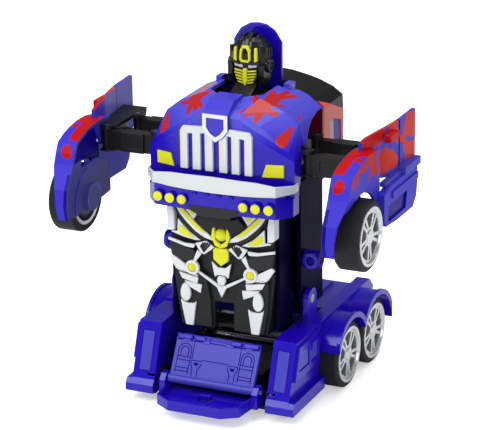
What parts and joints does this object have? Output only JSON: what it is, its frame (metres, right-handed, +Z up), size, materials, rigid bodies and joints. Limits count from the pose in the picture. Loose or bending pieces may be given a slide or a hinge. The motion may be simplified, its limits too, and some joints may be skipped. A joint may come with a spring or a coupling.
{
  "type": "transforming robot car",
  "caption": "Folding truck toy shown standing as a robot: the base stays on its wheels while the torso, chest and twin-bar arms fold forward into a truck body.",
  "frame": {"origin": "centre of the base's length and width, at ground level under the tyres", "axes": "+Z up; -Y the way the robot and the truck face; +X across, to the right in a view from the front"},
  "size_m": [0.2186, 0.173, 0.243],
  "materials": {
    "blue_shell": "gloss",
    "dark_blue_shell": "gloss",
    "flame_blue": "gloss",
    "red_shell": "gloss",
    "black_plastic": "satin",
    "windshield_gloss": "gloss",
    "silver_trim": "satin silver paint",
    "wheel_silver": "metallised plastic",
    "yellow_trim": "gloss",
    "tyre_black": "matt",
    "steel": "bright",
    "cell_wrap": "printed sleeve, plain",
    "board_green": "satin"
  },
  "bodies": {
    "base": {"chassis_pan": "black_plastic", "base_shell": "blue_shell", "rear_deck": "blue_shell", "front_tray": "blue_shell", "base_pins": "steel", "battery_cells": "cell_wrap", "battery_contacts": "steel", "chassis_screws": "steel", "circuit_board": "board_green", "drive_motor": "steel", "drive_gearbox": "black_plastic", "hinge_shaft": "steel"},
    "flap": {"front_flap": "blue_shell"},
    "battery_cover": {"battery_door": "black_plastic", "door_screw": "steel"},
    "switch": {"power_switch": "black_plastic"},
    "left_caster": {"left_roller": "black_plastic"},
    "right_caster": {"right_roller": "black_plastic"},
    "front_tandem_wheels": {"front_axle": "steel", "front_rims": "wheel_silver", "front_tyres": "tyre_black"},
    "rear_tandem_wheels": {"rear_axle": "steel", "rear_rims": "wheel_silver", "rear_tyres": "tyre_black"},
    "torso": {"torso_front": "black_plastic", "torso_shell": "dark_blue_shell", "back_cover": "black_plastic", "yellow_caps": "yellow_trim", "armour_plates": "silver_trim", "fold_gearbox": "black_plastic", "fold_motor": "steel", "speaker": "black_plastic", "cab_shell": "red_shell", "cab_glazing": "windshield_gloss", "head_helmet": "black_plastic", "head_mask": "yellow_trim", "head_panel": "blue_shell"},
    "chest": {"hood_shell": "blue_shell", "grille": "silver_trim", "badge": "blue_shell", "headlights": "yellow_trim", "bumper": "silver_trim", "lamp_bar": "blue_shell", "round_lamps": "yellow_trim", "shoulder_brackets": "black_plastic", "hinge_pins": "steel"},
    "right_front_link": {"right_front_bar": "black_plastic"},
    "right_rear_link": {"right_rear_bar": "black_plastic"},
    "right_arm": {"right_arm_frame": "black_plastic", "right_arm_pins": "steel", "right_side_panel": "flame_blue"},
    "right_arm_wheel": {"right_arm_rim": "wheel_silver", "right_arm_tyre": "tyre_black"},
    "left_front_link": {"left_front_bar": "black_plastic"},
    "left_rear_link": {"left_rear_bar": "black_plastic"},
    "left_arm": {"left_arm_frame": "black_plastic", "left_arm_pins": "steel", "left_side_panel": "flame_blue"},
    "left_arm_wheel": {"left_arm_rim": "wheel_silver", "left_arm_tyre": "tyre_black"}
  },
  "joints": [
    {"name": "torso_fold", "type": "hinge", "parent": "base", "child": "torso", "pos_m": [0, -0.005, 0.067], "axis": [1, 0, 0], "range_deg": [0, 90]},
    {"name": "flap_fold", "type": "hinge", "parent": "base", "child": "flap", "pos_m": [0, -0.058, 0.018], "axis": [1, 0, 0], "range_deg": [-43, 0]},
    {"name": "chest_level", "type": "hinge", "parent": "torso", "child": "chest", "pos_m": [0, 0.0202, 0.203], "axis": [1, 0, 0], "range_deg": [-90, 0]},
    {"name": "right_front_swing", "type": "hinge", "parent": "chest", "child": "right_front_link", "pos_m": [0.054, -0.021, 0.166], "axis": [0, 0, 1], "range_deg": [0, 90]},
    {"name": "right_rear_swing", "type": "hinge", "parent": "chest", "child": "right_rear_link", "pos_m": [0.047, 0.011, 0.166], "axis": [0, 0, 1], "range_deg": [0, 90]},
    {"name": "right_arm_level", "type": "hinge", "parent": "right_front_link", "child": "right_arm", "pos_m": [0.0906, -0.021, 0.166], "axis": [0, 0, 1], "range_deg": [-90, 0]},
    {"name": "right_arm_wheel_spin", "type": "hinge", "parent": "right_arm", "child": "right_arm_wheel", "pos_m": [0.0999, -0.0509, 0.1336], "axis": [1, 0, 0], "continuous": true},
    {"name": "right_roller_spin", "type": "hinge", "parent": "base", "child": "right_caster", "pos_m": [0.0485, -0.047, 0.0062], "axis": [1, 0, 0], "continuous": true},
    {"name": "left_front_swing", "type": "hinge", "parent": "chest", "child": "left_front_link", "pos_m": [-0.054, -0.021, 0.166], "axis": [0, 0, 1], "range_deg": [-90, 0]},
    {"name": "left_rear_swing", "type": "hinge", "parent": "chest", "child": "left_rear_link", "pos_m": [-0.047, 0.011, 0.166], "axis": [0, 0, 1], "range_deg": [-90, 0]},
    {"name": "left_arm_level", "type": "hinge", "parent": "left_front_link", "child": "left_arm", "pos_m": [-0.0906, -0.021, 0.166], "axis": [0, 0, 1], "range_deg": [0, 90]},
    {"name": "left_arm_wheel_spin", "type": "hinge", "parent": "left_arm", "child": "left_arm_wheel", "pos_m": [-0.0999, -0.0509, 0.1336], "axis": [1, 0, 0], "continuous": true},
    {"name": "left_roller_spin", "type": "hinge", "parent": "base", "child": "left_caster", "pos_m": [-0.0485, -0.047, 0.0062], "axis": [1, 0, 0], "continuous": true},
    {"name": "front_tandem_spin", "type": "hinge", "parent": "base", "child": "front_tandem_wheels", "pos_m": [0, 0.014, 0.0228], "axis": [1, 0, 0], "continuous": true},
    {"name": "rear_tandem_spin", "type": "hinge", "parent": "base", "child": "rear_tandem_wheels", "pos_m": [0, 0.0598, 0.0228], "axis": [1, 0, 0], "continuous": true},
    {"name": "battery_door_hinge", "type": "hinge", "parent": "base", "child": "battery_cover", "pos_m": [0, -0.0377, 0.00515], "axis": [1, 0, 0], "range_deg": [-80, 0]},
    {"name": "power_switch_slide", "type": "slide", "parent": "base", "child": "switch", "axis": [0, 1, 0], "range_m": [0, 0.005]}
  ],
  "couplings": [
    {"joint": "flap_fold", "follows": "torso_fold", "ratio": -0.4722},
    {"joint": "chest_level", "follows": "torso_fold", "ratio": -1},
    {"joint": "right_front_swing", "follows": "torso_fold", "ratio": 1},
    {"joint": "right_rear_swing", "follows": "torso_fold", "ratio": 1},
    {"joint": "right_arm_level", "follows": "torso_fold", "ratio": -1},
    {"joint": "left_front_swing", "follows": "torso_fold", "ratio": -1},
    {"joint": "left_rear_swing", "follows": "torso_fold", "ratio": -1},
    {"joint": "left_arm_level", "follows": "torso_fold", "ratio": 1}
  ]
}
